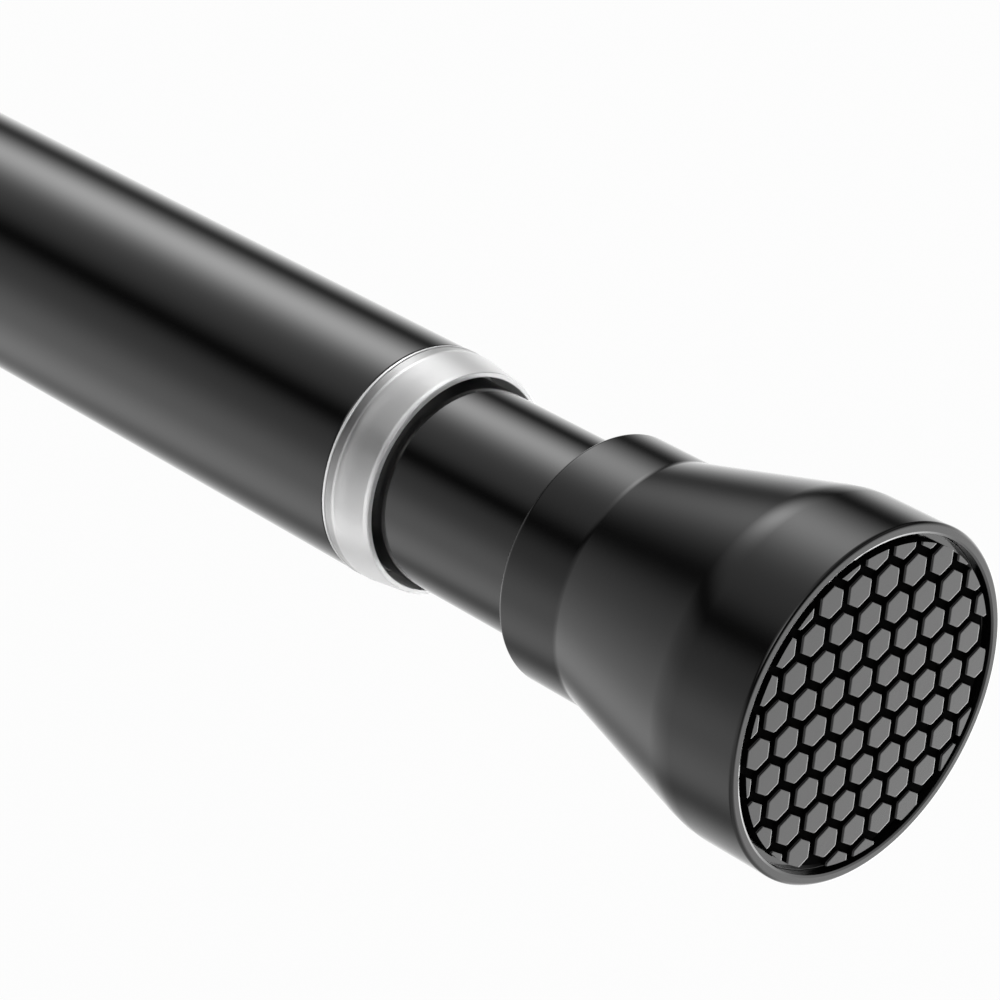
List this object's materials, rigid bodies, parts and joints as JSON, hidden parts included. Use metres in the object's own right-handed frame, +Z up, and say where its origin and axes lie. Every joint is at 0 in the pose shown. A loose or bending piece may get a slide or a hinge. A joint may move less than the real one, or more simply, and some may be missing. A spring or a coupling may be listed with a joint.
{
  "type": "spring tension rod",
  "caption": "Telescoping round rod with a clear mouth ring, flared end caps and honeycomb rubber pads, held between facing walls by a twist lock and an inner spring.",
  "frame": {"origin": "centre of the outer tube's pad face, where the pad presses on the wall", "axes": "+X along the rod from the outer tube's pad to the inner tube's pad, +Z up"},
  "size_m": [0.4236, 0.0316, 0.0316],
  "materials": {
    "tube_coating": "gloss black coating on steel tube",
    "cap_plastic": "moulded black plastic, satin to gloss",
    "pad_rubber": "grey-black rubber with raised hexagonal tiles",
    "clear_ring": "milky clear plastic",
    "plug_plastic": "moulded dark plastic",
    "lock_plastic": "natural moulded plastic",
    "core_plastic": "dark moulded plastic",
    "rod_steel": "drawn bright steel bar",
    "plated_steel": "zinc plated steel",
    "spring_steel": "oiled spring wire",
    "adhesive_film": "translucent adhesive film"
  },
  "bodies": {
    "outer_rod": {"outer_tube": "tube_coating", "mouth_ring": "clear_ring", "outer_cap": "cap_plastic", "outer_tube_plug": "plug_plastic", "outer_cap_screw": "plated_steel", "outer_pad_adhesive": "adhesive_film", "outer_pad": "pad_rubber"},
    "glide": {"glide_bush": "lock_plastic"},
    "lock_core": {"cam_core": "core_plastic", "push_rod": "rod_steel", "stop_nut": "plated_steel", "stop_washer": "plated_steel", "spring_seat_washer": "plated_steel", "compression_spring": "spring_steel", "rod_end_washer": "plated_steel", "rod_end_nut": "plated_steel"},
    "lock_collar": {"cam_collar": "lock_plastic"},
    "inner_rod": {"inner_tube": "tube_coating", "tube_end_bush": "lock_plastic", "inner_cap": "cap_plastic", "inner_tube_plug": "plug_plastic", "inner_cap_screw": "plated_steel", "inner_pad_adhesive": "adhesive_film", "inner_pad": "pad_rubber"}
  },
  "joints": [
    {"name": "telescope", "type": "slide", "parent": "outer_rod", "child": "glide", "axis": [1, 0, 0], "range_m": [-0.002, 0.186]},
    {"name": "twist", "type": "hinge", "parent": "glide", "child": "lock_core", "pos_m": [0.05, 0, 0], "axis": [1, 0, 0], "range_deg": [-60, 60]},
    {"name": "collar_ride", "type": "hinge", "parent": "lock_core", "child": "lock_collar", "pos_m": [0.05, 0, 0.00075], "axis": [1, 0, 0], "range_deg": [-60, 60]},
    {"name": "spring_travel", "type": "slide", "parent": "lock_core", "child": "inner_rod", "axis": [1, 0, 0], "range_m": [-0.015, 0], "stiffness_N_per_m": 1660, "springref_m": 0.01, "deforming": ["compression_spring"]}
  ],
  "couplings": [
    {"joint": "collar_ride", "follows": "twist", "ratio": -1}
  ]
}
